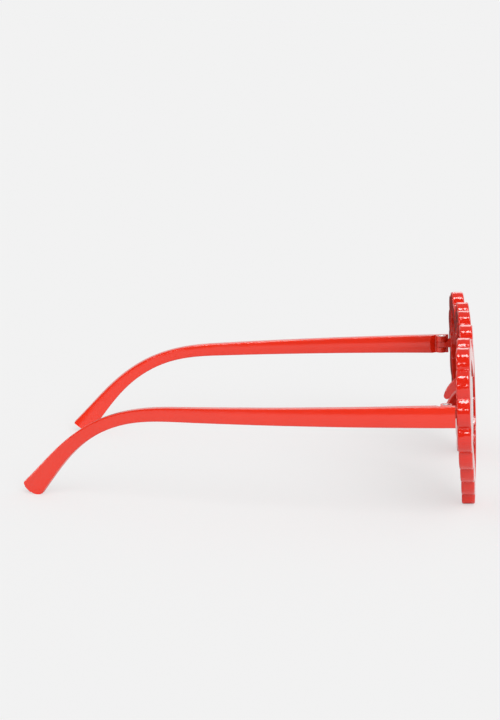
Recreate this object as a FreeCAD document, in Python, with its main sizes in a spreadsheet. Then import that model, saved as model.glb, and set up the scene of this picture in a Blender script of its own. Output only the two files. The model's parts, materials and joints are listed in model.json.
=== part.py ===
import FreeCAD, Part
import math
import os

# Heart-shaped sunglasses. The pieces are drawn upright: X across the face, -Y ahead of the wearer,
# +Z up, with the hearts' lowest bumps at Z = 0 and the rims' backs meeting the arms at Y = 0.
# At the end every piece is leaned back together, until it stands on both hearts and both ear tips.

Vector = FreeCAD.Vector
ACROSS = Vector(1, 0, 0)
BACK = Vector(0, 1, 0)
UP = Vector(0, 0, 1)
RIGHT = -1
LEFT = 1
SIDES = {RIGHT: "right", LEFT: "left"}
QUARTER_TURN = 90
HALF_RIGHT = math.cos(math.radians(QUARTER_TURN / 2))

# Driving dimensions, in millimetres, degrees and counts.
DIMENSIONS = [
    ("heart_spacing", 63.0, "between the centres of the two hearts"),
    ("tip_radius", 2.5, "rounding of the heart's lower tip, on the line through the creases"),
    ("side_angle", 49.5, "lower side of the heart, from the vertical"),
    ("side_length", 21.5, "straight part of the lower side"),
    ("cheek_radius", 19.8, "outer bulge of the heart"),
    ("lobe_turn", 54, "lean of the outline where the bulge runs into the lobe"),
    ("lobe_radius", 8.6, "upper lobe of the heart"),
    ("cleft_angle", 127, "heading of the outline as it drops into the cleft"),
    ("bumps_per_side", 9, "scallops on each side of a heart, besides the one at the tip"),
    ("bump_height", 1.6, "crown of a scallop above the line through the creases"),
    ("crease_radius", 0.35, "rounding at the bottom of a crease"),
    ("front_radius", 600, "ball that the front face lies on"),
    ("front_drop", 14.0, "hearts' widest level down to the front's foremost level"),
    ("rim_thickness", 3.8, "front face to back face of the rim"),
    ("rim_width", 4.6, "crease line to lens opening"),
    ("rim_edge_radius", 0.5, "rounding of the rim's outer edges"),
    ("opening_edge_radius", 0.25, "rounding of the edges round the lens opening"),
    ("opening_tip_radius", 2.0, "rounding of the lens opening at the tip"),
    ("opening_cleft_radius", 3.5, "rounding of the lens opening at the cleft"),
    ("lens_setback", 0.6, "rim's front face to the lens"),
    ("lens_thickness", 1.2, "thickness of the lens"),
    ("groove_depth", 1.0, "how far the lens groove goes into the rim"),
    ("lens_clearance", 0.06, "room between lens and groove"),
    ("bridge_rise", 5.3, "hearts' widest level up to the bridge's middle line"),
    ("bridge_height", 11.0, "height of the bridge at the rims"),
    ("bridge_arch", 2.0, "rise of the lower edge at the middle"),
    ("bridge_dip", 1.0, "fall of the upper edge at the middle"),
    ("bridge_setback", 0.3, "rim's faces to the bridge's faces"),
    ("bridge_root", 2.0, "how far the bridge runs into the rim, past the crease line"),
    ("bridge_edge_radius", 0.6, "rounding of the bridge's long edges"),
    ("pad_inset", 1.4, "crease line to the nose pad's middle, where it leaves the rim"),
    ("pad_thickness", 1.9, "thickness of the nose pad"),
    ("pad_splay", 20, "turn of the nose pad away from straight back"),
    ("pad_below", 1.2, "hearts' widest level down to the nose pad's upper root"),
    ("pad_root", 5.2, "height of the nose pad's root on the rim"),
    ("pad_drop", 10.2, "fall of the nose pad's end below its upper root"),
    ("pad_reach", 5.8, "how far the nose pad stands behind the rim"),
    ("pad_bite", 0.9, "how far the nose pad runs into the rim"),
    ("pad_bulge", 2.1, "bulge of the nose pad's upper edge"),
    ("pad_hollow", 0.85, "hollow of the nose pad's lower edge"),
    ("pad_end_radius", 1.0, "rounding of the nose pad's lower end"),
    ("pad_edge_radius", 0.5, "rounding of the nose pad's edges"),
    ("temple_inset", 0.4, "crown of the widest scallop to the arm's outer face"),
    ("temple_drop", 0.1, "hearts' widest level down to the arm's middle line"),
    ("temple_gap", 0.25, "arm's front end to the rim's back"),
    ("root_height", 6.0, "arm's height at the rim"),
    ("waist_height", 3.6, "arm's height at its waist"),
    ("tip_height", 6.6, "arm's height at the ear tip"),
    ("flare_power", 2.5, "how late the arm widens towards the ear tip"),
    ("root_thickness", 4.0, "arm's thickness at the rim"),
    ("waist_thickness", 3.0, "arm's thickness at its waist"),
    ("tip_thickness", 2.8, "arm's thickness at the ear tip"),
    ("waist_place", 91.8, "rim to the arm's waist, along the arm"),
    ("bend_start", 76.5, "rim to the start of the ear bend, along the arm"),
    ("bend_length", 47.0, "length of the ear bend, which turns gradually"),
    ("ear_angle", 49.0, "turn of the ear bend"),
    ("tail_length", 7.6, "straight end behind the ear bend"),
    ("straight_spans", 7, "spans of the arm's loft along its straight part"),
    ("bend_spans", 8, "spans round the ear bend"),
    ("tail_spans", 2, "spans along the straight end"),
    ("bow_start", 10, "rim to the start of the arm's inward bow"),
    ("bow_radius", 380, "inward bow of the arm, seen from above"),
    ("crown_radius", 10, "roundness of the arm's outer and inner faces"),
    ("temple_edge_radius", 0.5, "rounding along the arm's edges"),
    ("tip_upper_radius", 1.0, "rounding of the ear tip's upper corner"),
    ("tip_lower_radius", 3.2, "rounding of the ear tip's lower corner"),
    ("lug_margin", 0.15, "lens opening to the front's hinge lug"),
    ("pivot_back", 2.7, "rim's back to the hinge axis"),
    ("knuckle_radius", 1.55, "radius of the hinge knuckles"),
    ("upper_knuckle", 1.85, "height of the arm's upper knuckle"),
    ("middle_knuckle", 1.7, "height of the front's knuckle"),
    ("lower_knuckle", 1.7, "height of the arm's lower knuckle"),
    ("knuckle_gap", 0.12, "room between two knuckles"),
    ("swing_gap", 0.3, "room round a knuckle as it turns"),
    ("relief_length", 4.6, "length of the arm's thin end beside the knuckles"),
    ("lug_bite", 0.6, "how far the front's hinge lug runs into the rim"),
    ("screw_radius", 0.7, "radius of the hinge screw"),
    ("screw_clearance", 0.05, "room round the hinge screw"),
    ("screw_end", 0.2, "lower knuckle's underside to the end of the screw"),
    ("screw_lead", 0.25, "chamfer at the screw's end"),
    ("head_radius", 1.1, "radius of the screw's head"),
    ("head_height", 0.6, "height of the screw's head"),
    ("dome_height", 0.3, "rise of the head's domed top"),
    ("head_recess", 0.4, "depth of the seat for the screw's head"),
    ("slot_width", 0.35, "width of the screwdriver slot"),
    ("slot_depth", 0.3, "depth of the screwdriver slot"),
]

# Sizes worked out from the driving dimensions, by the sheet itself.
DERIVED = [
    ("half_width", "=cheek_radius + side_length * sin(side_angle)"
                   " - (cheek_radius - tip_radius) * cos(side_angle)"),
    ("widest_level", "=bump_height + tip_radius + side_length * cos(side_angle)"
                     " + (cheek_radius - tip_radius) * sin(side_angle)"),
    ("heart_side", "=heart_spacing / 2 + half_width"),
    ("back_radius", "=front_radius - rim_thickness"),
    ("temple_outer", "=heart_side + bump_height - temple_inset"),
    ("temple_level", "=widest_level - temple_drop"),
    ("ball_level", "=widest_level - front_drop"),
    ("arm_over_ball", "=temple_level - ball_level"),
    ("ball_depth", "=sqrt(back_radius * back_radius - temple_outer * temple_outer"
                   " - arm_over_ball * arm_over_ball)"),
    ("cut_reach", "=heart_spacing / 2"),
    ("bridge_low", "=widest_level + bridge_rise - bridge_height / 2"),
    ("bridge_high", "=bridge_low + bridge_height"),
    ("pad_top", "=widest_level - pad_below"),
    ("pivot_across", "=heart_side - rim_width + lug_margin + knuckle_radius"),
    ("arm_length", "=bend_start + bend_length + tail_length"),
    ("arm_top", "=temple_level + root_height / 2"),
    ("upper_low", "=arm_top - upper_knuckle"),
    ("middle_high", "=upper_low - knuckle_gap"),
    ("middle_low", "=middle_high - middle_knuckle"),
    ("lower_high", "=middle_low - knuckle_gap"),
    ("lower_low", "=lower_high - lower_knuckle"),
    ("screw_seat", "=arm_top - head_recess"),
    ("lens_front_radius", "=front_radius - lens_setback"),
    ("lens_back_radius", "=lens_front_radius - lens_thickness"),
]

doc = FreeCAD.newDocument("heart_sunglasses")
sheet = doc.addObject("Spreadsheet::Sheet", "Sizes")
for row, (name, value, meaning) in enumerate(DIMENSIONS, start=1):
    sheet.set(f"A{row}", meaning)
    sheet.set(f"B{row}", str(value))
    sheet.setAlias(f"B{row}", name)
for row, (name, formula) in enumerate(DERIVED, start=len(DIMENSIONS) + 1):
    sheet.set(f"A{row}", "worked out")
    sheet.set(f"B{row}", formula)
    sheet.setAlias(f"B{row}", name)
doc.recompute()


def size(name):
    """Value of one cell of the sheet."""
    return float(sheet.get(name))


def bind(thing, expressions):
    """Tie properties of a document object to cells of the sheet."""
    for place, expression in expressions.items():
        thing.setExpression(place, expression)


def add(kind, name, expressions=None, **settings):
    """A document object with its plain settings and its bound sizes."""
    thing = doc.addObject(kind, name)
    for setting, value in settings.items():
        setattr(thing, setting, value)
    bind(thing, expressions or {})
    return thing


# Heart outlines: the right half is walked from the lower tip to the cleft, in the XZ plane.

def forward(heading):
    """Unit step for a heading in degrees from straight up, positive towards +X."""
    turn = math.radians(heading)
    return Vector(math.sin(turn), 0, math.cos(turn))


def inward(heading):
    """Unit normal of that heading, on the heart's inner side."""
    turn = math.radians(heading)
    return Vector(-math.cos(turn), 0, math.sin(turn))


def heart_runs():
    """Runs of the crease line as (start, heading, radius, length); radius 0 is straight."""
    side, lobe, cleft = size("side_angle"), -size("lobe_turn"), -size("cleft_angle")

    def round_run(start, heading, last, radius):
        """A round run, and the point where it ends."""
        end = start + inward(heading) * radius - inward(last) * radius
        return (start, heading, radius, math.radians(heading - last) * radius), end

    tip, side_start = round_run(Vector(0, 0, 0), QUARTER_TURN, side, size("tip_radius"))
    straight = (side_start, side, 0, size("side_length"))
    cheek_start = side_start + forward(side) * size("side_length")
    cheek, lobe_start = round_run(cheek_start, side, lobe, size("cheek_radius"))
    top, cleft_start = round_run(lobe_start, lobe, cleft, size("lobe_radius"))
    drop = (cleft_start, cleft, 0, -cleft_start.x / forward(cleft).x)
    return [tip, straight, cheek, top, drop]


def along_heart(runs, distance):
    """Point and outward normal at a distance along the crease line, from the tip."""
    for start, heading, radius, length in runs:
        if distance <= length:
            break
        distance = distance - length
    if radius == 0:
        return start + forward(heading) * distance, inward(heading) * -1
    centre = start + inward(heading) * radius
    outward = inward(heading - math.degrees(distance / radius)) * -1
    return centre + outward * radius, outward


def mirrored(point):
    """The same point on the heart's other half."""
    return Vector(-point.x, point.y, point.z)


def circle_through(first, middle, last):
    """Centre and radius of the circle through three points."""
    circle = Part.Circle(first, middle, last)
    return circle.Center, circle.Radius


def crease_centre(left, right, crease, rounding):
    """Centre of the small circle that touches two neighbouring bumps from outside."""
    (left_centre, left_radius), (right_centre, right_radius) = left, right
    across = right_centre - left_centre
    reach_left, reach_right = left_radius + rounding, right_radius + rounding
    foot = (reach_left ** 2 - reach_right ** 2 + across.Length ** 2) / (2 * across.Length)
    rise = math.sqrt(reach_left ** 2 - foot ** 2)
    unit = across / across.Length
    base = left_centre + unit * foot
    upright = Vector(-unit.z, 0, unit.x)
    if upright.dot(crease - base) < 0:
        upright = upright * -1
    return base + upright * rise


def scalloped_outline():
    """Closed wire of the scalloped heart: round bumps that meet in rounded creases."""
    runs = heart_runs()
    count = int(size("bumps_per_side"))
    half_pitch = sum(length for _, _, _, length in runs) / (2 * count + 1)
    pitch = 2 * half_pitch
    creases = [along_heart(runs, pitch * step + half_pitch)[0] for step in range(count)]
    cleft_start, cleft_heading, _, cleft_length = runs[-1]
    creases.append(cleft_start + forward(cleft_heading) * cleft_length)
    crowns = []
    for step in range(count + 1):
        point, outward = along_heart(runs, pitch * step)
        crowns.append(point + outward * size("bump_height"))
    corners = creases + [mirrored(point) for point in reversed(creases[:-1])]
    tops = crowns[1:] + [mirrored(point) for point in reversed(crowns[1:])] + crowns[:1]
    ends = corners[1:] + corners[:1]
    bumps = [circle_through(*points) for points in zip(corners, tops, ends)]
    rounding = size("crease_radius")
    hollows = []
    for index, corner in enumerate(corners):
        hollows.append(crease_centre(bumps[index - 1], bumps[index], corner, rounding))
    edges = []
    for index, (centre, radius) in enumerate(bumps):
        before, after = hollows[index], hollows[(index + 1) % len(hollows)]
        next_centre, next_radius = bumps[(index + 1) % len(bumps)]
        start = centre + (before - centre) * (radius / (radius + rounding))
        end = centre + (after - centre) * (radius / (radius + rounding))
        turn = next_centre + (after - next_centre) * (next_radius / (next_radius + rounding))
        dip = ends[index] - after
        edges.append(Part.Arc(start, tops[index], end).toShape())
        edges.append(Part.Arc(end, after + dip * (rounding / dip.Length), turn).toShape())
    return Part.Wire(Part.__sortEdges__(edges))


def smooth_outline(inset):
    """Closed wire of a smooth heart that lies inside the crease line by the inset."""
    _, side_run, cheek_run, lobe_run, cleft_run = heart_runs()
    side, cleft = side_run[1], cleft_run[1]
    tip_round, cleft_round = size("opening_tip_radius"), size("opening_cleft_radius")

    def on_axis(run, shift):
        """Where a straight run, moved inward by the shift, meets the heart's middle line."""
        start = run[0] + inward(run[1]) * shift
        return start - forward(run[1]) * (start.x / forward(run[1]).x)

    def inset_arc(run):
        """First, middle and last point of a round run, moved inward by the inset."""
        start, heading, radius, length = run
        centre = start + inward(heading) * radius
        turn = math.degrees(length / radius)
        headings = (heading, heading - turn / 2, heading - turn)
        return [centre - inward(angle) * (radius - inset) for angle in headings]

    tip_centre = on_axis(side_run, inset + tip_round)
    cleft_centre = on_axis(cleft_run, inset - cleft_round)
    tip_point = tip_centre - Vector(0, 0, tip_round)
    tip_end = tip_centre - inward(side) * tip_round
    cleft_point = cleft_centre - Vector(0, 0, cleft_round)
    cleft_start = cleft_centre + inward(cleft) * cleft_round
    cheek, lobe = inset_arc(cheek_run), inset_arc(lobe_run)
    half = [
        Part.LineSegment(tip_end, cheek[0]),
        Part.Arc(*cheek),
        Part.Arc(*lobe),
        Part.LineSegment(lobe[2], cleft_start),
    ]
    edges = [curve.toShape() for curve in half]
    edges += [edge.mirror(Vector(0, 0, 0), ACROSS) for edge in edges]
    edges.append(Part.Arc(mirrored(tip_end), tip_point, tip_end).toShape())
    edges.append(Part.Arc(cleft_start, cleft_point, mirrored(cleft_start)).toShape())
    return Part.Wire(Part.__sortEdges__(edges))


def heart_prism(name, wire, side):
    """A heart outline on one side of the face, run through from front to back."""
    profile = add("Part::Feature", f"{name}_profile", Shape=Part.Face(wire))
    bind(profile, {
        "Placement.Base.x": f"{side} * Sizes.heart_spacing / 2",
        "Placement.Base.z": "Sizes.bump_height",
    })
    return through_front(name, profile)


def through_front(name, profile):
    """A profile in the XZ plane, run through the front both ways."""
    reach = {"LengthFwd": "Sizes.cut_reach", "LengthRev": "Sizes.cut_reach"}
    return add("Part::Extrusion", name, reach, Base=profile, DirMode="Custom",
               Dir=BACK, Solid=True)


def shell(name, outer, inner):
    """Part of the front between two balls about the same centre, given by their radii."""
    balls = []
    for layer, radius in (("outer", outer), ("inner", inner)):
        balls.append(add("Part::Sphere", f"{name}_{layer}", {
            "Radius": radius,
            "Placement.Base.y": "Sizes.ball_depth",
            "Placement.Base.z": "Sizes.ball_level",
        }))
    return add("Part::Cut", name, Base=balls[0], Tool=balls[1])


def rounded(name, base, radius, chosen):
    """The base with the chosen edges rounded."""
    doc.recompute()
    picks = []
    for number, edge in enumerate(base.Shape.Edges, start=1):
        if chosen(edge):
            picks.append((number, radius, radius))
    return add("Part::Fillet", name, Base=base, Edges=picks)


def runs_along(edge, axis):
    """Whether an edge starts out more along the axis than across it."""
    return abs(edge.tangentAt(edge.FirstParameter).dot(axis)) > HALF_RIGHT


def on_outline(edge):
    """Whether an edge follows an outline, and doesn't run from front to back."""
    return not runs_along(edge, BACK)


def back_of_rim(across, height):
    """Y of the rim's back face at a place on the front."""
    drop = size("back_radius") ** 2 - across ** 2 - (height - size("ball_level")) ** 2
    return size("ball_depth") - math.sqrt(drop)


# Front: two rims, a bridge, two nose pads and two hinge lugs, moulded in one.

def rim(side, front_shell, groove_shell):
    """One scalloped heart rim with its lens opening and lens groove."""
    word = SIDES[side]
    solid = heart_prism(f"scallops_{word}", scalloped_outline(), side)
    plate = add("Part::Common", f"plate_{word}", Base=solid, Tool=front_shell)
    plate = rounded(f"soft_plate_{word}", plate, size("rim_edge_radius"), on_outline)
    hole = heart_prism(f"opening_{word}", smooth_outline(size("rim_width")), side)
    ring = add("Part::Cut", f"ring_{word}", Base=plate, Tool=hole)

    def round_opening(edge):
        """Whether an edge runs round the lens opening."""
        away = hole.Shape.distToShape(Part.Vertex(edge.CenterOfMass))[0]
        return on_outline(edge) and away < size("rim_edge_radius")

    ring = rounded(f"soft_ring_{word}", ring, size("opening_edge_radius"), round_opening)
    seat = heart_prism(f"seat_{word}", smooth_outline(size("rim_width") - size("groove_depth")), side)
    groove = add("Part::Common", f"groove_{word}", Base=seat, Tool=groove_shell)
    return add("Part::Cut", f"rim_{word}", Base=ring, Tool=groove)


def nasal_edge(level):
    """X of the crease line beside the nose, at a level on the heart's bulge."""
    radius = size("cheek_radius")
    middle = size("heart_spacing") / 2 - size("half_width") + radius
    return middle - math.sqrt(radius ** 2 - (level - size("widest_level")) ** 2)


def bridge(bridge_shell):
    """Bar between the rims: arched below, slightly dipped above."""
    low, high, root = size("bridge_low"), size("bridge_high"), size("bridge_root")
    low_end = Vector(nasal_edge(low) + root, 0, low)
    high_end = Vector(nasal_edge(high) + root, 0, high)
    edges = [
        Part.Arc(mirrored(low_end), Vector(0, 0, low + size("bridge_arch")), low_end),
        Part.LineSegment(low_end, high_end),
        Part.Arc(high_end, Vector(0, 0, high - size("bridge_dip")), mirrored(high_end)),
        Part.LineSegment(mirrored(high_end), mirrored(low_end)),
    ]
    wire = Part.Wire([edge.toShape() for edge in edges])
    profile = add("Part::Feature", "bridge_profile", Shape=Part.Face(wire))
    bar = add("Part::Common", "bridge_bar", Base=through_front("bridge_prism", profile),
              Tool=bridge_shell)

    def long_edge(edge):
        """Whether an edge runs across the face, from rim to rim."""
        return runs_along(edge, ACROSS)

    return rounded("bridge", bar, size("bridge_edge_radius"), long_edge)


def bowed(start, end, rise):
    """Arc in the YZ plane that stands off its chord by the rise."""
    chord = end - start
    aside = ACROSS.cross(chord) / chord.Length
    return Part.Arc(start, (start + end) / 2 + aside * rise, end)


def nose_pad(side):
    """Leaf-shaped pad that leaves the rim's back and hangs rearward and down beside the nose."""
    word = SIDES[side]
    top = size("pad_top")
    across = nasal_edge(top) + size("pad_inset")
    rim_back = back_of_rim(across, top)
    root = rim_back - size("pad_bite")
    upper = Vector(0, root, top)
    end = Vector(0, rim_back + size("pad_reach"), top - size("pad_drop"))
    lower = Vector(0, root, top - size("pad_root"))
    edges = [
        bowed(upper, end, size("pad_bulge")),
        bowed(end, lower, -size("pad_hollow")),
        Part.LineSegment(lower, upper),
    ]
    wire = Part.Wire([edge.toShape() for edge in edges])
    profile = add("Part::Feature", f"pad_profile_{word}", Shape=Part.Face(wire))
    leaf = add("Part::Extrusion", f"pad_leaf_{word}", {
        "LengthFwd": "Sizes.pad_thickness / 2",
        "LengthRev": "Sizes.pad_thickness / 2",
    }, Base=profile, DirMode="Custom", Dir=ACROSS, Solid=True)

    def at_end(edge):
        """Whether an edge is the pad's pointed end."""
        at_point = edge.distToShape(Part.Vertex(end))[0] < Part.Precision.confusion()
        return at_point and runs_along(edge, ACROSS)

    def free(edge):
        """Whether an edge runs round the pad, behind the rim."""
        return edge.CenterOfMass.y > rim_back and not runs_along(edge, ACROSS)

    tip = rounded(f"pad_tip_{word}", leaf, size("pad_end_radius"), at_end)
    pad = rounded(f"pad_{word}", tip, size("pad_edge_radius"), free)
    turn = FreeCAD.Rotation(UP, -side * size("pad_splay"))
    pad.Placement = FreeCAD.Placement(Vector(side * across, 0, 0), turn, Vector(0, root, 0))
    return pad


def hinge_lug(side):
    """Middle knuckle on the front, with a sloped gusset up the rim's back."""
    word = SIDES[side]
    across, back, radius = size("pivot_across"), size("pivot_back"), size("knuckle_radius")
    root = back_of_rim(across, size("temple_level")) - size("lug_bite")
    low, high = size("middle_low"), size("middle_high")
    near, far = side * (across - radius), side * (across + radius)
    edges = [
        Part.LineSegment(Vector(near, root, low), Vector(near, back, low)),
        Part.Arc(Vector(near, back, low), Vector(side * across, back + radius, low),
                 Vector(far, back, low)),
        Part.LineSegment(Vector(far, back, low), Vector(far, root, low)),
        Part.LineSegment(Vector(far, root, low), Vector(near, root, low)),
    ]
    wire = Part.Wire([edge.toShape() for edge in edges])
    plan = add("Part::Feature", f"lug_profile_{word}", Shape=Part.Face(wire))
    lug = add("Part::Extrusion", f"lug_{word}", {"LengthFwd": "Sizes.middle_knuckle"}, Base=plan,
              DirMode="Custom", Dir=UP, Solid=True)
    toe = back - radius - size("swing_gap")
    corners = [Vector(near, root, high), Vector(near, toe, high), Vector(near, root, size("arm_top"))]
    slope = add("Part::Feature", f"gusset_profile_{word}",
                Shape=Part.Face(Part.makePolygon(corners + corners[:1])))
    gusset = add("Part::Extrusion", f"gusset_{word}", {"LengthFwd": "2 * Sizes.knuckle_radius"},
                 Base=slope, DirMode="Custom", Dir=ACROSS * side, Solid=True)
    return [lug, gusset]


def hinge_bore(side):
    """Hole for the hinge screw."""
    return add("Part::Cylinder", f"bore_{SIDES[side]}", {
        "Radius": "Sizes.screw_radius + Sizes.screw_clearance",
        "Height": "2 * Sizes.temple_level",
        "Placement.Base.x": f"{side} * Sizes.pivot_across",
        "Placement.Base.y": "Sizes.pivot_back",
    })


def front_frame():
    """The whole front as one moulding."""
    front_shell = shell("front_shell", "Sizes.front_radius", "Sizes.back_radius")
    groove_shell = shell("groove_shell", "Sizes.lens_front_radius + Sizes.lens_clearance",
                         "Sizes.lens_back_radius - Sizes.lens_clearance")
    bridge_shell = shell("bridge_shell", "Sizes.front_radius - Sizes.bridge_setback",
                         "Sizes.back_radius + Sizes.bridge_setback")
    pieces = [bridge(bridge_shell)]
    for side in SIDES:
        pieces.append(rim(side, front_shell, groove_shell))
        pieces.append(nose_pad(side))
        pieces.extend(hinge_lug(side))
    moulding = add("Part::MultiFuse", "moulding", Shapes=pieces)
    bores = add("Part::MultiFuse", "bores", Shapes=[hinge_bore(side) for side in SIDES])
    return add("Part::Cut", "front_frame", Base=moulding, Tool=bores)


def lens(side, lens_shell):
    """Sheet lens that fills the groove of one rim."""
    word = SIDES[side]
    edge = size("rim_width") - size("groove_depth") + size("lens_clearance")
    blank = heart_prism(f"lens_blank_{word}", smooth_outline(edge), side)
    return add("Part::Common", f"lens_{word}", Base=blank, Tool=lens_shell)


# Arms: a lofted bar with an ear bend, thinned at the front for the hinge, with two knuckles.

WALK_STEPS = 200
SKETCH_UP = Vector(0, 1, 0)


def origin_plane(body, role):
    """One of the body's own origin planes."""
    return next(plane for plane in body.Origin.OriginFeatures if plane.Role == role)


def sketch_on(body, name, role, curves, offset=None, expressions=None):
    """A sketch on one of the body's own planes."""
    sketch = body.newObject("Sketcher::SketchObject", name)
    sketch.AttachmentSupport = [(origin_plane(body, role), "")]
    sketch.MapMode = "FlatFace"
    if offset is not None:
        sketch.AttachmentOffset = offset
    bind(sketch, expressions or {})
    for curve in curves:
        sketch.addGeometry(curve)
    return sketch


def arm_slope(distance):
    """Downward slope of the arm in degrees: level, then the gradual turn of the ear bend."""
    part = min(max((distance - size("bend_start")) / size("bend_length"), 0), 1)
    return size("ear_angle") * part ** 2 * (3 - 2 * part)


def arm_middle(distance):
    """Run behind the rim and level of the arm's middle line, walked in short steps."""
    step = distance / WALK_STEPS
    run, level = 0, size("temple_level")
    for number in range(WALK_STEPS):
        turn = math.radians(arm_slope(step * (number + 1 / 2)))
        run = run + step * math.cos(turn)
        level = level - step * math.sin(turn)
    return run, level


def arm_station(distance):
    """Middle point, slope, inward turn, half height and half thickness at a distance along the arm."""
    run, level = arm_middle(distance)
    waist = size("waist_place")
    taper = min(distance / waist, 1)
    flare = max(distance - waist, 0) / (size("arm_length") - waist)
    waist_height, waist_thickness = size("waist_height"), size("waist_thickness")
    height = size("root_height") + (waist_height - size("root_height")) * taper
    height = height + (size("tip_height") - waist_height) * flare ** size("flare_power")
    thickness = size("root_thickness") + (waist_thickness - size("root_thickness")) * taper
    thickness = thickness + (size("tip_thickness") - waist_thickness) * flare
    bowed_run = max(run - size("bow_start"), 0)
    bow = bowed_run / size("bow_radius")
    outer = size("temple_outer") - bowed_run * bow / 2
    middle = Vector(outer - thickness / 2, run, level)
    return middle, arm_slope(distance), math.degrees(math.atan(bow)), height / 2, thickness / 2


def arm_section(half_height, half_thickness):
    """Cross-section with crowned outer and inner faces, flat top and bottom and rounded edges."""
    crown, corner = size("crown_radius"), size("temple_edge_radius")
    side_middle = half_thickness - crown
    rise = half_height - corner
    corner_x = side_middle + math.sqrt((crown - corner) ** 2 - rise ** 2)
    spread = Vector(corner_x - side_middle, rise, 0)
    spread = spread / spread.Length
    face_end = Vector(side_middle, 0, 0) + spread * crown
    top_end = Vector(corner_x, half_height, 0)
    bisector = spread + SKETCH_UP
    corner_mid = Vector(corner_x, rise, 0) + bisector * (corner / bisector.Length)

    def place(point, across, up):
        """The point in one of the four quarters of the section."""
        return Vector(point.x * across, point.y * up, 0)

    curves = []
    for across, up in ((1, 1), (-1, 1), (-1, -1), (1, -1)):
        ends = [place(face_end, across, up), place(corner_mid, across, up), place(top_end, across, up)]
        first_is_face = across * up > 0
        ordered = ends if first_is_face else list(reversed(ends))
        curves.append(Part.Arc(*ordered))
        if first_is_face:
            curves.append(Part.LineSegment(ordered[2], place(top_end, -across, up)))
        else:
            middle = Vector(half_thickness * across, 0, 0)
            curves.append(Part.Arc(ordered[2], middle, place(face_end, across, -up)))
    return curves


def arm_loft(body, side):
    """The arm's bar, through sections along its middle line."""
    stretches = [
        (size("bend_start"), size("straight_spans")),
        (size("bend_length"), size("bend_spans")),
        (size("tail_length"), size("tail_spans")),
    ]
    distances = [size("temple_gap")]
    start = 0
    for length, spans in stretches:
        distances += [start + length * (step + 1) / spans for step in range(int(spans))]
        start = start + length
    sections = []
    for number, distance in enumerate(distances):
        middle, slope, inward_turn, half_height, half_thickness = arm_station(distance)
        turn = FreeCAD.Rotation(SKETCH_UP, side * inward_turn)
        tilt = FreeCAD.Rotation(ACROSS, -slope)
        place = Vector(side * middle.x, middle.z, -middle.y)
        offset = FreeCAD.Placement(place, turn.multiply(tilt))
        curves = arm_section(half_height, half_thickness)
        sections.append(sketch_on(body, f"{body.Name}_section_{number}", "XZ_Plane", curves, offset))
    doc.recompute()
    loft = body.newObject("PartDesign::AdditiveLoft", f"{body.Name}_bar")
    loft.Profile = sections[0]
    loft.Sections = sections[1:]
    return loft


def closed(points):
    """Line segments through the points and back to the first."""
    return [Part.LineSegment(start, end) for start, end in zip(points, points[1:] + points[:1])]


def pocket_through(body, sketch):
    """A cut right through the body, both ways from its sketch."""
    pocket = body.newObject("PartDesign::Pocket", f"{sketch.Name}_cut")
    pocket.Profile = sketch
    pocket.Type = "ThroughAll"
    pocket.Midplane = True
    return pocket


def round_ear_tip(body):
    """Rounds the two corners of the ear tip, seen from the side."""
    middle, slope, _, half_height, _ = arm_station(size("arm_length"))
    turn = math.radians(slope)
    back = Vector(math.cos(turn), -math.sin(turn), 0)
    up = Vector(math.sin(turn), math.cos(turn), 0)
    end = Vector(middle.y, middle.z, 0)
    curves = []
    for sign, corner in ((1, size("tip_upper_radius")), (-1, size("tip_lower_radius"))):
        outer = end + up * (sign * half_height)
        along, across = outer - back * corner, outer - up * (sign * corner)
        centre = along - up * (sign * corner)
        bulge = back + up * sign
        middle_of_arc = centre + bulge * (corner / bulge.Length)
        outside = [across + back * corner, outer + bulge * corner, along + up * (sign * corner)]
        curves.append(Part.Arc(along, middle_of_arc, across))
        curves += closed([along, across] + outside)[1:]
    pocket_through(body, sketch_on(body, f"{body.Name}_tip", "YZ_Plane", curves))


def thin_front_end(body, side):
    """Takes the arm's inner side away beside the knuckles, with a ramp back to full thickness."""
    across = size("pivot_across")
    wall = across + size("knuckle_radius") + size("swing_gap")
    inner = size("temple_outer") - size("root_thickness")
    ramp = wall - inner
    past = size("knuckle_radius") + size("swing_gap") + ramp
    length = size("relief_length")
    points = [
        Vector(side * wall, -ramp, 0),
        Vector(side * wall, length, 0),
        Vector(side * (inner - past), length + ramp + past, 0),
        Vector(side * (inner - past), -ramp, 0),
    ]
    pocket_through(body, sketch_on(body, f"{body.Name}_relief", "XY_Plane", closed(points)))


def knuckle(body, side, name, low, height):
    """Round knuckle on the arm's thin end, between two heights."""
    across, back, radius = size("pivot_across"), size("pivot_back"), size("knuckle_radius")
    root = across + radius + 2 * size("swing_gap")
    front, rear = Vector(side * across, back - radius, 0), Vector(side * across, back + radius, 0)
    front_root, rear_root = Vector(side * root, front.y, 0), Vector(side * root, rear.y, 0)
    curves = [
        Part.Arc(rear, Vector(side * (across - radius), back, 0), front),
        Part.LineSegment(front, front_root),
        Part.LineSegment(front_root, rear_root),
        Part.LineSegment(rear_root, rear),
    ]
    sketch = sketch_on(body, f"{body.Name}_{name}_plan", "XY_Plane", curves,
                       expressions={"AttachmentOffset.Base.z": low})
    pad = body.newObject("PartDesign::Pad", f"{body.Name}_{name}")
    pad.Profile = sketch
    bind(pad, {"Length": height})
    return pad


def screw_holes(body, side):
    """Bore for the screw and the seat for its head."""
    pivot = Vector(side * size("pivot_across"), size("pivot_back"), 0)
    bore = Part.Circle(pivot, UP, size("screw_radius") + size("screw_clearance"))
    pocket_through(body, sketch_on(body, f"{body.Name}_bore", "XY_Plane", [bore]))
    seat = Part.Circle(pivot, UP, size("head_radius") + size("screw_clearance"))
    sketch = sketch_on(body, f"{body.Name}_seat", "XY_Plane", [seat],
                       expressions={"AttachmentOffset.Base.z": "Sizes.arm_top"})
    pocket = body.newObject("PartDesign::Pocket", f"{body.Name}_seat_cut")
    pocket.Profile = sketch
    bind(pocket, {"Length": "Sizes.head_recess"})


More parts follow.
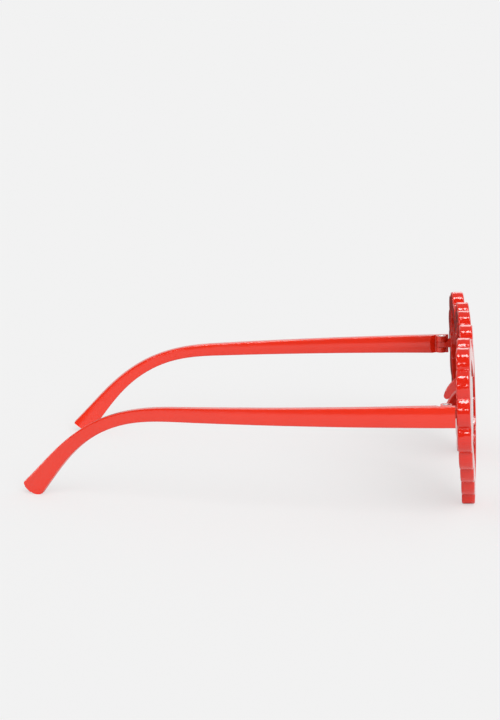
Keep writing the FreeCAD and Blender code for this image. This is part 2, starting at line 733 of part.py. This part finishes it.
def temple(side):
    """One side arm."""
    body = doc.addObject("PartDesign::Body", f"temple_{SIDES[side]}")
    arm_loft(body, side)
    round_ear_tip(body)
    thin_front_end(body, side)
    knuckle(body, side, "upper", "Sizes.upper_low", "Sizes.upper_knuckle")
    knuckle(body, side, "lower", "Sizes.lower_low", "Sizes.lower_knuckle")
    screw_holes(body, side)
    return body


def hinge_screw(side):
    """Slotted screw, turned about its own axis, with the underside of its head at the origin."""
    body = doc.addObject("PartDesign::Body", f"hinge_screw_{SIDES[side]}")
    shank, head, top = size("screw_radius"), size("head_radius"), size("head_height")
    length = size("screw_seat") - size("lower_low") - size("screw_end")
    lead, rise = size("screw_lead"), size("dome_height")
    dome_radius = (head ** 2 + rise ** 2) / (2 * rise)
    half_dome = math.asin(head / dome_radius) / 2
    crown = Vector(math.sin(half_dome), math.cos(half_dome) - 1, 0) * dome_radius + Vector(0, top, 0)
    dome = Part.Arc(Vector(head, top - rise, 0), crown, Vector(0, top, 0))
    points = [
        Vector(0, top, 0),
        Vector(0, -length, 0),
        Vector(shank - lead, -length, 0),
        Vector(shank, lead - length, 0),
        Vector(shank, 0, 0),
        Vector(head, 0, 0),
        Vector(head, top - rise, 0),
    ]
    lines = [Part.LineSegment(start, end) for start, end in zip(points, points[1:])]
    profile = sketch_on(body, f"{body.Name}_profile", "XZ_Plane", lines + [dome])
    turned = body.newObject("PartDesign::Revolution", f"{body.Name}_turned")
    turned.Profile = profile
    turned.ReferenceAxis = (profile, ["V_Axis"])
    half = size("slot_width") / 2
    corners = [Vector(x, y, 0) for x, y in ((-head, -half), (head, -half), (head, half), (-head, half))]
    sketch = sketch_on(body, f"{body.Name}_slot", "XY_Plane", closed(corners),
                       expressions={"AttachmentOffset.Base.z": "Sizes.head_height"})
    slot = body.newObject("PartDesign::Pocket", f"{body.Name}_slot_cut")
    slot.Profile = sketch
    bind(slot, {"Length": "Sizes.slot_depth"})
    body.Placement.Base = Vector(side * size("pivot_across"), size("pivot_back"), size("screw_seat"))
    return body


# Standing: leaned back about X until the hearts and the ear tips touch the same level surface.

FACET = 0.02
LEAN_STEP = 1e-6


def leaned(points, lean):
    """The points after the lean, as (depth, height)."""
    tilt = FreeCAD.Rotation(ACROSS, -lean)
    turned = [tilt.multVec(point) for point in points]
    return [(point.y, point.z) for point in turned]


def standing_lean(front_points, arm_points):
    """Lean at which the front and the arms have the same lowest height."""
    low, high = 0, QUARTER_TURN / 2
    while high - low > LEAN_STEP:
        lean = (low + high) / 2
        front_low = min(height for _, height in leaned(front_points, lean))
        arm_low = min(height for _, height in leaned(arm_points, lean))
        if arm_low > front_low:
            low = lean
        else:
            high = lean
    return (low + high) / 2


pieces = [front_frame()]
lens_shell = shell("lens_shell", "Sizes.lens_front_radius", "Sizes.lens_back_radius")
pieces += [lens(side, lens_shell) for side in SIDES]
pieces += [temple(side) for side in SIDES]
pieces += [hinge_screw(side) for side in SIDES]
doc.recompute()

front_points = pieces[0].Shape.tessellate(FACET)[0]
arm_points = pieces[3].Shape.tessellate(FACET)[0]
lean = standing_lean(front_points, arm_points)
stood = leaned(front_points + arm_points, lean)
floor = min(height for _, height in stood)
middle = (min(depth for depth, _ in stood) + max(depth for depth, _ in stood)) / 2
stand = FreeCAD.Placement(Vector(0, -middle, -floor), FreeCAD.Rotation(ACROSS, -lean))
for piece in pieces:
    piece.Placement = stand.multiply(piece.Placement)
doc.recompute()

for thing in doc.Objects:
    if "Invalid" in thing.State or "Error" in thing.State:
        raise RuntimeError(f"{thing.Name} failed: {thing.State}")
for piece in pieces:
    if piece.Shape.isNull() or not piece.Shape.isValid():
        raise RuntimeError(f"{piece.Label} has no sound shape")

os.makedirs("parts", exist_ok=True)
for piece in pieces:
    piece.Shape.exportStep(f"parts/{piece.Label}.step")

pivot = stand.multVec(Vector(size("pivot_across"), size("pivot_back"), size("temple_level")))
print(f"lean {lean:.4f} degrees, left hinge axis through {pivot}")
for piece in pieces:
    box = piece.Shape.BoundBox
    print(f"{piece.Label}: {len(piece.Shape.Solids)} solid, {piece.Shape.Volume:.1f} cubic mm, {box}")
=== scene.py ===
import json
import math

import bpy
from mathutils import Matrix, Vector

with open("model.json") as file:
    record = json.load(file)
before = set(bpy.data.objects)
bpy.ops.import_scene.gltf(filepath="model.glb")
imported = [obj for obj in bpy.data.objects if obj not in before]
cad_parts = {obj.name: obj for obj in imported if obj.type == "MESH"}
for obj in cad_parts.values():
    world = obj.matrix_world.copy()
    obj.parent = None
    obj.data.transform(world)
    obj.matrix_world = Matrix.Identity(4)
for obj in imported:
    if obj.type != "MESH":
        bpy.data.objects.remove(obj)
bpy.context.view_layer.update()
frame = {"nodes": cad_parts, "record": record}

# Looks of the heart-shaped sunglasses: polished red plastic, dark lenses and two steel screws,
# standing open on a pale floor and seen from the wearer's right. All lengths are in metres.

MM = 0.001

# Camera: a long lens beside the right arm, a little above it, with its angles in radians. The sensor
# spans the picture's longer side, which is its height.
CAMERA_PLACE = Vector((-0.53378, -0.04339, 0.13805))
CAMERA_YAW = 0.0880
CAMERA_PITCH = 0.19222
CAMERA_ROLL = 0.01879
FOCAL_IN_PIXELS = 1786.0
IMAGE_HEIGHT = 720
SENSOR = 36.0
NEAREST_SEEN = 0.01

# Floor, room and light: all white. The dome and the key light the floor with these levels, and the
# camera sees this share of the shadow that the object casts.
FLOOR_REACH = 60.0
ROOM_WHITE = 0.887
SHADOW_SHARE = 0.40
DOME_LEVEL = 0.65
KEY_LEVEL = 0.35
KEY_SPREAD = math.radians(50)
KEY_DIRECTION = Vector((0.70, 0.28, -0.66)).normalized()

# What the gloss shows of the room: a low white backdrop under a dim ceiling, a dark side behind the
# camera, and dim flags ahead of the front and behind the ear tips. A top or an edge is the cosine of the
# angle between a ray and the middle of what begins there, a fade is how much that cosine grows until it
# is there in full, and a loss is the share of the white that it takes.
BACKDROP_TOP = math.sin(math.radians(28))
BACKDROP_FADE = 0.30
CEILING_SHARE = 0.40
DARK_EDGE = 0.10
DARK_FADE = 0.30
DARK_LOSS = 0.96
FLAG_EDGE = 0.60
FLAG_FADE = 0.25
FLAG_LOSS = 0.70

# The gloss also shows a dim floor beyond the far rim, from these places along X and Y on.
FAR_FLOOR_START = {"X": 0.080, "Y": -0.064}
FAR_FLOOR_FADE = 0.012
FAR_FLOOR_SHARE = 0.05

# Soft boxes that the gloss shows, as (degrees up, degrees round from behind the camera towards the
# ear tips, half width in degrees, brightness), and the share of the half width that is fully bright.
SOFT_BOXES = (
    (72, -29, 13, 14.0),
    (23, -4, 5, 9.0),
    (13, 95, 13, 4.0),
    (33, 180, 13, 2.6),
    (40, -95, 14, 5.0),
)
SOFT_BOX_CORE = 0.7

# Two tones of each finish, which a soft cloud mixes. The front's tones are the arms' red made darker,
# which is painted shade on what is one plastic.
ARM_REDS = ((0.76, 0.0245, 0.0060, 1), (0.82, 0.0300, 0.0090, 1))
FRONT_REDS_PAINTED_SHADE = ((0.69, 0.0160, 0.0050, 1), (0.75, 0.0210, 0.0075, 1))
SMOKES = ((0.10, 0.085, 0.085, 1), (0.13, 0.110, 0.105, 1))
STEELS = ((0.52, 0.52, 0.53, 1), (0.66, 0.66, 0.67, 1))

# Spots, marks, rings and waves to the metre.
PLASTIC_CLOUDS = 90.0
HANDLING_MARKS = 420.0
POLISH_WAVES = 520.0
SMOKE_CLOUDS = 60.0
STEEL_GRAIN = 3000.0
TURNING_RINGS = 4000.0
CLOUD_DETAIL = 2.0
MARK_DETAIL = 4.0
RING_WANDER = 1.0

# Roughness where a surface is at its smoothest, and what its pattern adds to that.
ARM_SMOOTH = 0.13
FRONT_SMOOTH = 0.05
PLASTIC_MARKED = 0.07
LENS_SMOOTH = 0.02
LENS_CLOUDED = 0.02
STEEL_SMOOTH = 0.22
STEEL_RINGED = 0.12

# Refractive index of the plastic's gloss and of the lens.
PLASTIC_IOR = 1.62
LENS_IOR = 1.50

# Waves that polishing leaves round the edges of the plastic: how deep they are, and from where a face
# counts as front or back, which stays flat.
FRONT_WAVINESS = 0.10 * MM
ARM_WAVINESS = 0.002 * MM
FLAT_FROM = 0.3
FLAT_FADE = 0.5

# Sockets of a colour Mix node, which share their names with its other kinds.
MIX_FIRST, MIX_SECOND, MIX_RESULT = 6, 7, 2


class Value:
    """A shader socket that takes part in Python sums: each operator adds a Math node."""

    def __init__(self, finish, socket):
        self.finish = finish
        self.socket = socket

    def __add__(self, other):
        return self.finish.math("ADD", self, other)

    def __radd__(self, other):
        return self.finish.math("ADD", other, self)

    def __sub__(self, other):
        return self.finish.math("SUBTRACT", self, other)

    def __rsub__(self, other):
        return self.finish.math("SUBTRACT", other, self)

    def __mul__(self, other):
        return self.finish.math("MULTIPLY", self, other)

    def __rmul__(self, other):
        return self.finish.math("MULTIPLY", other, self)

    def __abs__(self):
        return self.finish.node("ShaderNodeMath", {"operation": "ABSOLUTE"}, {0: self})


class Finish:
    """A node material, or the world, in the making."""

    def __init__(self, owner):
        owner.use_nodes = True
        self.tree = owner.node_tree
        self.tree.nodes.clear()

    def node(self, kind, settings=None, inputs=None, output=0):
        """Adds a node: its settings first, then the values or links of its sockets."""
        made = self.tree.nodes.new(kind)
        for name, value in (settings or {}).items():
            setattr(made, name, value)
        for name, value in (inputs or {}).items():
            if isinstance(value, Value):
                self.tree.links.new(value.socket, made.inputs[name])
            else:
                made.inputs[name].default_value = value
        return Value(self, made.outputs[output]) if made.outputs else made

    def math(self, operation, first, second):
        """One Math node on two values."""
        return self.node("ShaderNodeMath", {"operation": operation}, {0: first, 1: second})

    def ease(self, value, low, fade):
        """Smooth step from 0 to 1, from a low value on and over a fade."""
        return self.node("ShaderNodeMapRange", {"interpolation_type": "SMOOTHSTEP"},
                         {"Value": value, "From Min": low, "From Max": low + fade})

    def noise(self, place, scale, detail=CLOUD_DETAIL):
        """Soft noise from 0 to 1, by its spots to the metre."""
        return self.node("ShaderNodeTexNoise", {"noise_dimensions": "3D"},
                         {"Vector": place, "Scale": scale, "Detail": detail})

    def tone(self, share, tones):
        """Colour between two tones."""
        first, second = tones
        return self.node("ShaderNodeMix", {"data_type": "RGBA"},
                         {"Factor": share, MIX_FIRST: first, MIX_SECOND: second}, output=MIX_RESULT)

    def either(self, share, first, second):
        """Mix of two shaders."""
        return self.node("ShaderNodeMixShader", None, {0: share, 1: first, 2: second})

    def cover(self, inputs):
        """Puts one shader with these inputs on the whole surface."""
        shader = self.node("ShaderNodeBsdfPrincipled", None, inputs)
        self.node("ShaderNodeOutputMaterial", None, {"Surface": shader})


def new_finish(name):
    """A new material and the finish that fills it."""
    material = bpy.data.materials.new(name)
    return material, Finish(material)


def grey(level):
    """A colour without hue."""
    return (level, level, level, 1)


def red_plastic(name, reds, smooth, waviness):
    """Polished opaque red plastic: a deep even colour under a clear gloss, with the polish's waves."""
    material, finish = new_finish(name)
    place = finish.node("ShaderNodeTexCoord", output="Object")
    cloud = finish.noise(place, PLASTIC_CLOUDS)
    marks = finish.noise(place, HANDLING_MARKS, MARK_DETAIL)
    facing = finish.node("ShaderNodeTexCoord", output="Normal")
    ahead = abs(finish.node("ShaderNodeSeparateXYZ", None, {"Vector": facing}, output="Y"))
    edge = 1 - finish.ease(ahead, FLAT_FROM, FLAT_FADE)
    bump = finish.node("ShaderNodeBump", None, {
        "Strength": 1.0,
        "Distance": waviness,
        "Height": finish.noise(place, POLISH_WAVES) * edge,
    })
    finish.cover({
        "Base Color": finish.tone(cloud, reds),
        "Roughness": smooth + marks * PLASTIC_MARKED,
        "IOR": PLASTIC_IOR,
        "Normal": bump,
    })
    return material


def smoke_lens():
    """Dark smoke sheet: tinted through, polished on both faces."""
    material, finish = new_finish("dark_smoke_lens")
    place = finish.node("ShaderNodeTexCoord", output="Object")
    cloud = finish.noise(place, SMOKE_CLOUDS)
    finish.cover({
        "Base Color": finish.tone(cloud, SMOKES),
        "Roughness": LENS_SMOOTH + cloud * LENS_CLOUDED,
        "IOR": LENS_IOR,
        "Transmission Weight": 1.0,
    })
    return material


def screw_steel():
    """Bright steel with the fine rings that turning leaves."""
    material, finish = new_finish("turned_screw_steel")
    place = finish.node("ShaderNodeTexCoord", output="Object")
    rings = finish.node("ShaderNodeTexWave", {"wave_type": "BANDS", "bands_direction": "Z"},
                        {"Vector": place, "Scale": TURNING_RINGS, "Distortion": RING_WANDER})
    grain = finish.noise(place, STEEL_GRAIN)
    finish.cover({
        "Base Color": finish.tone(grain, STEELS),
        "Metallic": 1.0,
        "Roughness": STEEL_SMOOTH + rings * STEEL_RINGED,
    })
    return material


def dress_nodes():
    """Gives each piece its finish by its material slot in the record. The front gets the arms' red made
    darker, which is painted shade.
    """
    arm_red = red_plastic("polished_red_arm", ARM_REDS, ARM_SMOOTH, ARM_WAVINESS)
    # The front's finish is a darker copy of the arms' red plastic: painted shade.
    front_red_painted_shade = red_plastic("polished_red_front_painted_shade", FRONT_REDS_PAINTED_SHADE, FRONT_SMOOTH, FRONT_WAVINESS)
    finishes = {"red_plastic": arm_red, "smoke_lens": smoke_lens(), "screw_steel": screw_steel()}
    for entry in frame["record"]["subparts"]:
        piece = frame["nodes"][entry["node"]]
        finish = front_red_painted_shade if entry["node"] == "front_frame" else finishes[entry["material_slot"]]
        for slot in piece.material_slots:
            slot.material = finish


def set_floor():
    """Pale floor, wide enough to reach the horizon, with a soft shadow of the object."""
    bpy.ops.mesh.primitive_plane_add(size=FLOOR_REACH)
    floor = bpy.context.active_object
    floor.name = "floor"
    material, finish = new_finish("pale_floor")
    seen = finish.node("ShaderNodeLightPath", output="Is Camera Ray")
    mirrored = finish.node("ShaderNodeLightPath", output="Is Glossy Ray")
    place = finish.node("ShaderNodeTexCoord", output="Object")
    far = 1.0
    for axis, start in FAR_FLOOR_START.items():
        along = finish.node("ShaderNodeSeparateXYZ", None, {"Vector": place}, output=axis)
        far = far * finish.ease(along, start, FAR_FLOOR_FADE)
    white = grey(ROOM_WHITE)
    paper = finish.node("ShaderNodeBsdfDiffuse", None, {"Color": white})
    dim = finish.node("ShaderNodeBsdfDiffuse", None, {"Color": grey(ROOM_WHITE * FAR_FLOOR_SHARE)})
    glow = finish.node("ShaderNodeEmission", None, {"Color": white})
    lit = finish.either(mirrored * far, paper, dim)
    surface = finish.either(seen * (1 - SHADOW_SHARE), lit, glow)
    finish.node("ShaderNodeOutputMaterial", None, {"Surface": surface})
    floor.data.materials.append(material)


def set_room():
    """White room: an even dome lights the object, and its gloss shows soft boxes and a dark side."""
    world = bpy.data.worlds.new("room")
    bpy.context.scene.world = world
    finish = Finish(world)
    ray = {kind: finish.node("ShaderNodeLightPath", output=f"Is {kind} Ray")
           for kind in ("Camera", "Transmission", "Glossy")}
    direction = finish.node("ShaderNodeTexCoord", output="Generated")

    def towards(aim):
        """Cosine of the angle between a ray and an aim."""
        return finish.node("ShaderNodeVectorMath", {"operation": "DOT_PRODUCT"},
                           {0: direction, 1: aim.normalized()}, output="Value")

    def white_light(level):
        """White light of one level, or of a level that changes with the direction."""
        return finish.node("ShaderNodeBackground", None, {"Color": grey(1), "Strength": level})

    high = finish.ease(towards(Vector((0, 0, 1))), BACKDROP_TOP, BACKDROP_FADE)
    dark = finish.ease(towards(Vector((-1, 0, 0))), DARK_EDGE, DARK_FADE)
    flag = finish.ease(abs(towards(Vector((0, 1, 0)))), FLAG_EDGE, FLAG_FADE)
    backdrop = ROOM_WHITE * (1 - (1 - CEILING_SHARE) * high)
    gloss = backdrop * (1 - DARK_LOSS * dark) * (1 - FLAG_LOSS * flag)
    for upward, round_about, half_width, brightness in SOFT_BOXES:
        lift, turn = math.radians(upward), math.radians(round_about)
        aim = Vector((-math.cos(lift) * math.cos(turn), math.cos(lift) * math.sin(turn), math.sin(lift)))
        edge = math.cos(math.radians(half_width))
        core = math.cos(math.radians(half_width * SOFT_BOX_CORE))
        gloss = gloss + brightness * finish.ease(towards(aim), edge, core - edge)
    lit = finish.either(ray["Glossy"], white_light(DOME_LEVEL), white_light(gloss))
    sky = finish.either(ray["Camera"] + ray["Transmission"], lit, white_light(ROOM_WHITE))
    finish.node("ShaderNodeOutputWorld", None, {"Surface": sky})


def set_key():
    """Broad soft key light from behind the camera, which the gloss shows as the soft boxes instead."""
    key = bpy.data.lights.new("key", "SUN")
    key.energy = KEY_LEVEL * math.pi / -KEY_DIRECTION.z
    key.angle = KEY_SPREAD
    lamp = bpy.data.objects.new("key", key)
    lamp.visible_glossy = False
    lamp.rotation_mode = "QUATERNION"
    lamp.rotation_quaternion = KEY_DIRECTION.to_track_quat("-Z", "Y")
    bpy.context.scene.collection.objects.link(lamp)


def set_camera():
    """Camera at the photograph's viewing angle."""
    ahead = Vector((math.cos(CAMERA_PITCH) * math.cos(CAMERA_YAW),
                    math.cos(CAMERA_PITCH) * math.sin(CAMERA_YAW),
                    -math.sin(CAMERA_PITCH)))
    level = ahead.cross(Vector((0, 0, 1))).normalized()
    upright = level.cross(ahead)
    right = level * math.cos(CAMERA_ROLL) + upright * math.sin(CAMERA_ROLL)
    up = upright * math.cos(CAMERA_ROLL) - level * math.sin(CAMERA_ROLL)
    lens = bpy.data.cameras.new("camera")
    lens.sensor_width = SENSOR
    lens.lens = FOCAL_IN_PIXELS / IMAGE_HEIGHT * SENSOR
    lens.clip_start = NEAREST_SEEN
    lens.clip_end = 2 * FLOOR_REACH
    camera = bpy.data.objects.new("camera", lens)
    turn = Matrix((right, up, -ahead)).transposed()
    camera.matrix_world = Matrix.Translation(CAMERA_PLACE) @ turn.to_4x4()
    bpy.context.scene.collection.objects.link(camera)
    bpy.context.scene.camera = camera


bpy.ops.object.select_all(action="DESELECT")
bpy.context.scene.view_settings.view_transform = "Standard"
dress_nodes()
set_floor()
set_room()
set_key()
set_camera()
